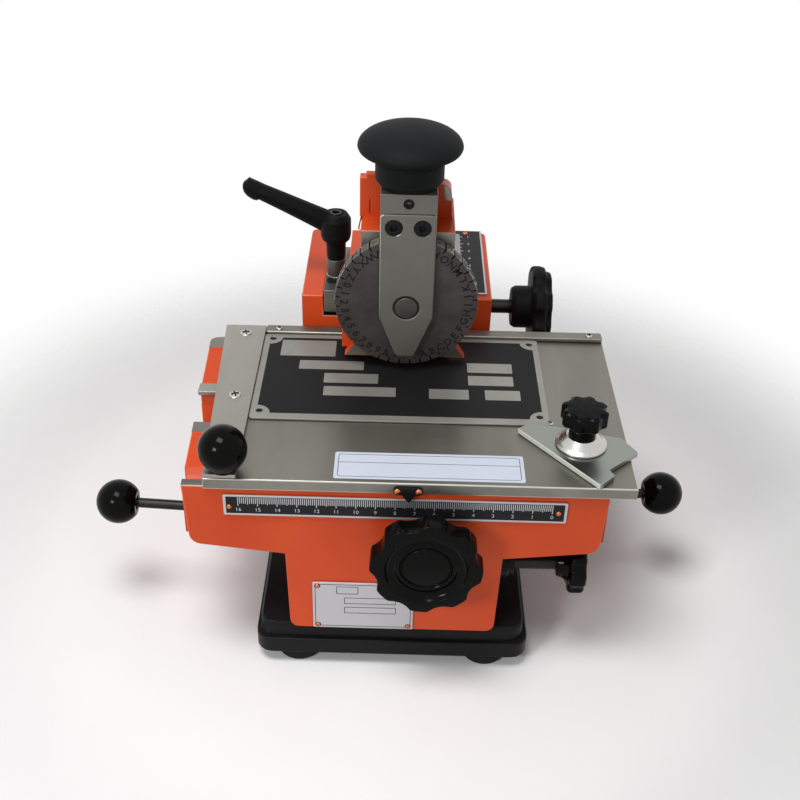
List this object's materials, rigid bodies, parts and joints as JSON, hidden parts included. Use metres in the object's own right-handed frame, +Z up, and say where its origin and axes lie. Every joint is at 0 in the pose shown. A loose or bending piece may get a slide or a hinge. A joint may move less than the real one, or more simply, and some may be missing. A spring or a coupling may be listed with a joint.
{
  "type": "nameplate marking machine",
  "caption": "Manual nameplate marking machine: sliding table with stops and clamp, handwheel, head carriage with palm button and character wheel, on a cast bed.",
  "frame": {"origin": "middle of the machine's outer size, on the surface that the rubber feet stand on", "axes": "+X to the operator's right along the table's travel, +Y away from the operator, +Z up"},
  "size_m": [0.337, 0.2676, 0.2765],
  "materials": {
    "orange_paint": "semi-gloss orange paint on cast iron, worn bare at a few edges",
    "black_casting": "satin black paint on cast iron",
    "ground_steel": "ground steel with fine parallel grinding marks",
    "bright_steel": "bright turned or polished steel",
    "dark_steel": "blackened steel",
    "sample_metal": "etched plate, black fields with bare metal boxes",
    "printed_plate": "thin anodised plate",
    "gloss_plastic": "glossy black moulding",
    "satin_plastic": "satin black moulding",
    "bronze": "turned bronze",
    "foot_rubber": "matte black rubber"
  },
  "bodies": {
    "frame": {"foot_front_left": "foot_rubber", "foot_front_right": "foot_rubber", "foot_rear_left": "foot_rubber", "foot_rear_right": "foot_rubber", "base": "black_casting", "body_casting": "orange_paint", "guide_rail": "ground_steel", "ruler_plate": "printed_plate", "data_plate": "printed_plate", "front_bush": "bronze", "rear_bush": "bronze", "spacing_boss": "black_casting", "left_lever_fork": "dark_steel", "left_lever_pin": "bright_steel", "right_lever_fork": "dark_steel", "right_lever_pin": "bright_steel", "arm_casting": "orange_paint", "arm_scale": "printed_plate", "head_shaft_bush": "bronze", "clamp_shoe": "ground_steel"},
    "table": {"table_plate": "ground_steel", "side_stop": "ground_steel", "back_fence": "ground_steel", "pointer": "satin_plastic", "table_guide": "ground_steel", "table_rack": "dark_steel", "table_ball": "gloss_plastic", "table_ball_stud": "dark_steel", "sample_plate": "sample_metal", "clamp_stud": "dark_steel"},
    "corner_clamp": {"clamp_plate": "bright_steel"},
    "clamp_star_knob": {"clamp_knob": "gloss_plastic", "clamp_washer": "bright_steel"},
    "feed_handwheel": {"handwheel": "satin_plastic", "handwheel_shaft": "bright_steel", "feed_pinion": "dark_steel"},
    "spacing_adjuster": {"spacing_knob": "satin_plastic", "spacing_shaft": "dark_steel"},
    "left_lever": {"left_lever_rod": "dark_steel", "left_lever_ball": "gloss_plastic"},
    "right_lever": {"right_lever_rod": "dark_steel", "right_lever_ball": "gloss_plastic"},
    "head_drive": {"head_knob": "satin_plastic", "head_shaft": "dark_steel", "head_pinion": "dark_steel"},
    "carriage": {"carriage_casting": "orange_paint", "head_rack": "dark_steel", "ram_spring": "bright_steel"},
    "clamp_lever": {"clamp_lever_handle": "satin_plastic", "clamp_lever_stud": "dark_steel"},
    "ram": {"ram_block": "ground_steel", "front_plate": "ground_steel", "plate_screw_left": "dark_steel", "plate_screw_right": "dark_steel", "wheel_axle": "dark_steel", "palm_button": "satin_plastic"},
    "wheel": {"type_wheel": "dark_steel"}
  },
  "joints": [
    {"name": "table_slide", "type": "slide", "parent": "frame", "child": "table", "axis": [1, 0, 0], "range_m": [-0.0867, 0.0733]},
    {"name": "handwheel_turn", "type": "hinge", "parent": "frame", "child": "feed_handwheel", "pos_m": [0.0166, -0.08, 0.0935], "axis": [0, 1, 0], "range_deg": [-415, 351]},
    {"name": "clamp_swivel", "type": "hinge", "parent": "table", "child": "corner_clamp", "pos_m": [0.0958, -0.08115, 0.1358], "axis": [0, 0, 1], "range_deg": [0, 60]},
    {"name": "clamp_knob_turn", "type": "hinge", "parent": "table", "child": "clamp_star_knob", "pos_m": [0.0958, -0.08115, 0.145], "axis": [0, 0, 1], "range_deg": [-90, 180]},
    {"name": "spacing_turn", "type": "hinge", "parent": "frame", "child": "spacing_adjuster", "pos_m": [0.06, -0.09215, 0.0645], "axis": [1, 0, 0], "range_deg": [-180, 180]},
    {"name": "left_lever_swing", "type": "hinge", "parent": "frame", "child": "left_lever", "pos_m": [-0.0726, -0.06315, 0.071], "axis": [0, 1, 0], "range_deg": [-12, 0], "stiffness_Nm_per_rad": 0.3, "springref_deg": 14.32},
    {"name": "right_lever_swing", "type": "hinge", "parent": "frame", "child": "right_lever", "pos_m": [0.0726, -0.03315, 0.063], "axis": [0, 1, 0], "range_deg": [0, 12], "stiffness_Nm_per_rad": 0.3, "springref_deg": -14.32},
    {"name": "carriage_slide", "type": "slide", "parent": "frame", "child": "carriage", "axis": [0, 1, 0], "range_m": [-0.05, 0.02]},
    {"name": "head_knob_turn", "type": "hinge", "parent": "frame", "child": "head_drive", "pos_m": [0.06, 0.07385, 0.13], "axis": [1, 0, 0], "range_deg": [-144, 359]},
    {"name": "clamp_lever_turn", "type": "hinge", "parent": "frame", "child": "clamp_lever", "pos_m": [-0.0397, 0.06185, 0.17], "axis": [0, 0, 1], "range_deg": [-60, 60]},
    {"name": "ram_press", "type": "slide", "parent": "carriage", "child": "ram", "axis": [0, 0, 1], "range_m": [-0.0026, 0], "stiffness_N_per_m": 3000, "springref_m": 0.005, "deforming": ["ram_spring"]},
    {"name": "wheel_turn", "type": "hinge", "parent": "ram", "child": "wheel", "pos_m": [0.0032, -0.0062, 0.178], "axis": [0, 1, 0], "continuous": true}
  ],
  "couplings": [
    {"joint": "handwheel_turn", "follows": "table_slide", "rad_per_m": 83.333},
    {"joint": "head_knob_turn", "follows": "carriage_slide", "rad_per_m": -125}
  ]
}
